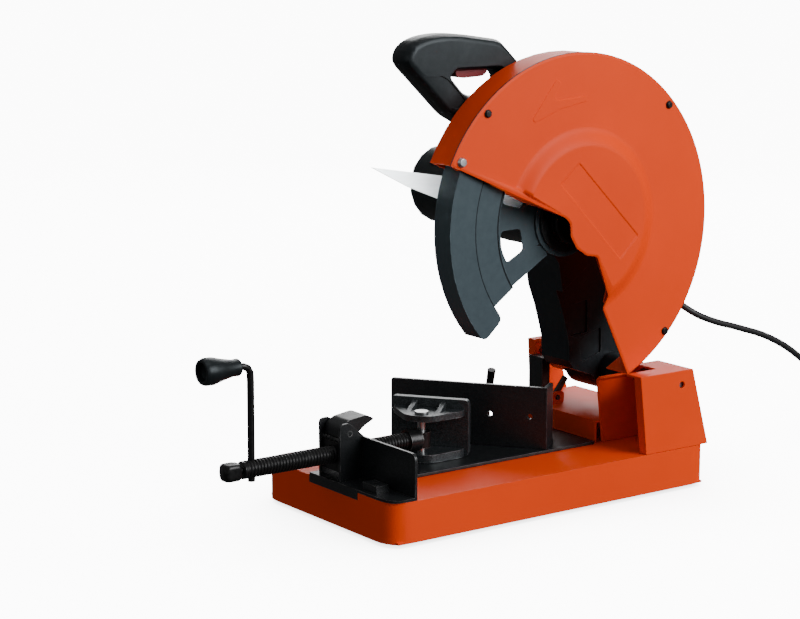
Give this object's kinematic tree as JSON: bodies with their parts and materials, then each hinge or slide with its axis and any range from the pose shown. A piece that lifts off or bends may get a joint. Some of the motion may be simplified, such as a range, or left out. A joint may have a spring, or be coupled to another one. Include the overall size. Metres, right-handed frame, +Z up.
{
  "type": "abrasive chop saw",
  "caption": "bench metal-cutting chop saw with a swinging motor head, swivelling fence and crank-operated screw vise on a folded sheet-steel base",
  "frame": {"origin": "on the floor, under the middle of the saw's bounding box measured without its free cord", "axes": "+X is the operator's right (arbor side), -Y is the front where the crank is, +Y is the rear with the two towers, +Z is up"},
  "size_m": [0.326, 1.136, 0.5367],
  "materials": {
    "orange_paint": "powder-coated sheet steel, fine orange-peel texture",
    "black_coated_steel": "black coated steel plate with scuffed edges",
    "black_casting": "satin black painted aluminium casting",
    "hammered_casting": "dark grey hammered paint over iron",
    "black_plastic": "glass-filled nylon, fine grain",
    "guard_plastic": "dark grey moulded polycarbonate",
    "bright_steel": "turned and ground steel",
    "black_oxide_steel": "black-oxide steel with bright worn crests",
    "winding_copper": "varnished copper winding",
    "black_rubber": "moulded rubber",
    "red_plastic": "red moulded switch key",
    "frosted_plastic": "scuffed clear polycarbonate sheet"
  },
  "bodies": {
    "base": {"base_tray": "orange_paint", "right_tower": "orange_paint", "left_tower": "orange_paint", "rear_saddle": "orange_paint", "table_plate": "black_coated_steel", "foot_front_left": "black_rubber", "foot_front_right": "black_rubber", "foot_rear_left": "black_rubber", "foot_rear_right": "black_rubber", "pivot_shaft": "bright_steel", "pivot_nut": "black_oxide_steel", "lock_bracket": "black_coated_steel", "vise_bracket": "black_coated_steel", "nut_block": "black_oxide_steel", "fence_pivot_bolt": "black_oxide_steel", "power_cord": "black_rubber", "cord_coil": "black_rubber", "plug": "black_rubber"},
    "head": {"arm_casting": "black_casting", "gear_cover": "black_casting", "motor_housing": "black_plastic", "motor_end_cap": "black_plastic", "stator": "winding_copper", "brush_holder_front": "black_plastic", "brush_holder_rear": "black_plastic", "guard_shell": "orange_paint", "guard_cover": "orange_paint", "cover_screw_front": "black_oxide_steel", "cover_screw_top": "black_oxide_steel", "cover_screw_rear": "black_oxide_steel", "guard_corner_bolt": "bright_steel", "guard_retainer": "black_coated_steel", "chip_shield": "frosted_plastic", "handle_left": "black_plastic", "handle_right": "black_plastic", "switch_module": "black_plastic", "spindle_bearing": "bright_steel", "strain_relief": "black_rubber", "torsion_spring": "bright_steel"},
    "trigger": {"trigger": "red_plastic"},
    "lock_off": {"lock_off_button": "black_plastic"},
    "spindle_lock": {"spindle_lock_button": "black_plastic"},
    "spindle_set": {"spindle": "bright_steel", "drive_gear": "black_oxide_steel", "inner_flange": "black_oxide_steel", "outer_flange": "black_oxide_steel", "arbor_bolt": "black_oxide_steel"},
    "layshaft_set": {"layshaft": "bright_steel"},
    "armature_set": {"armature": "bright_steel"},
    "lower_guard": {"lower_guard": "guard_plastic"},
    "vise_nose": {"nose_yoke": "black_oxide_steel", "jaw_pin": "bright_steel"},
    "vise_screw": {"lead_screw": "black_oxide_steel", "crank_arm": "black_oxide_steel"},
    "crank_grip": {"crank_knob": "black_plastic"},
    "jaw": {"cast_jaw": "hammered_casting"},
    "fence": {"fence_plate": "black_coated_steel"},
    "fence_clamp": {"fence_lock_lever": "black_oxide_steel"},
    "release": {"release_lever": "black_coated_steel"},
    "carry_lock": {"lock_bar": "black_coated_steel"}
  },
  "joints": [
    {"name": "head_swing", "type": "hinge", "parent": "base", "child": "head", "pos_m": [0.023, 0.25655, 0.126], "axis": [1, 0, 0], "range_deg": [0, 31], "stiffness_Nm_per_rad": 16, "springref_deg": -71.62},
    {"name": "lower_guard_swing", "type": "hinge", "parent": "head", "child": "lower_guard", "pos_m": [0.023, 0.12755, 0.324], "axis": [1, 0, 0], "range_deg": [-72, 0]},
    {"name": "armature_spin", "type": "hinge", "parent": "head", "child": "armature_set", "pos_m": [-0.037, 0.12755, 0.34], "axis": [1, 0, 0], "continuous": true},
    {"name": "layshaft_spin", "type": "hinge", "parent": "head", "child": "layshaft_set", "pos_m": [0.023, 0.15332, 0.34805], "axis": [1, 0, 0], "continuous": true},
    {"name": "spindle_spin", "type": "hinge", "parent": "head", "child": "spindle_set", "pos_m": [0.063, 0.12755, 0.324], "axis": [1, 0, 0], "continuous": true},
    {"name": "trigger_press", "type": "slide", "parent": "head", "child": "trigger", "axis": [0, 0, 1], "range_m": [0, 0.006], "stiffness_N_per_m": 500, "springref_m": -0.002},
    {"name": "lock_off_press", "type": "slide", "parent": "head", "child": "lock_off", "axis": [1, 0, 0], "range_m": [0, 0.0025], "stiffness_N_per_m": 400, "springref_m": -0.001},
    {"name": "spindle_lock_press", "type": "slide", "parent": "head", "child": "spindle_lock", "axis": [0, 1, 0], "range_m": [0, 0.004], "stiffness_N_per_m": 400, "springref_m": -0.002},
    {"name": "vise_slide", "type": "slide", "parent": "base", "child": "vise_nose", "axis": [0, 1, 0], "range_m": [-0.048, 0.016]},
    {"name": "screw_spin", "type": "hinge", "parent": "vise_nose", "child": "vise_screw", "pos_m": [0.029, -0.15745, 0.08], "axis": [0, 1, 0], "range_deg": [-4320, 1440]},
    {"name": "grip_spin", "type": "hinge", "parent": "vise_screw", "child": "crank_grip", "pos_m": [0.029, -0.29245, 0.193], "axis": [0, 1, 0], "continuous": true},
    {"name": "jaw_swivel", "type": "hinge", "parent": "vise_nose", "child": "jaw", "pos_m": [0.029, -0.02945, 0.08], "axis": [0, 0, 1], "range_deg": [-37, 9]},
    {"name": "fence_swivel", "type": "hinge", "parent": "base", "child": "fence", "pos_m": [0.035, 0.11855, 0.057], "axis": [0, 0, 1], "range_deg": [-36.8, 8]},
    {"name": "fence_clamp_turn", "type": "hinge", "parent": "base", "child": "fence_clamp", "pos_m": [-0.049, 0.11855, 0.065], "axis": [0, 0, 1], "range_deg": [-20, 60]},
    {"name": "release_lift", "type": "hinge", "parent": "base", "child": "release", "pos_m": [0.029, -0.14145, 0.106], "axis": [1, 0, 0], "range_deg": [0, 30]},
    {"name": "carry_lock_swing", "type": "hinge", "parent": "base", "child": "carry_lock", "pos_m": [-0.033, 0.21855, 0.083], "axis": [1, 0, 0], "range_deg": [0, 40]}
  ],
  "couplings": [
    {"joint": "lower_guard_swing", "follows": "head_swing", "ratio": -2.3226},
    {"joint": "layshaft_spin", "follows": "armature_spin", "ratio": -0.2},
    {"joint": "spindle_spin", "follows": "armature_spin", "ratio": 0.061111},
    {"joint": "vise_slide", "follows": "screw_spin", "m_per_rad": 0.00063662}
  ]
}
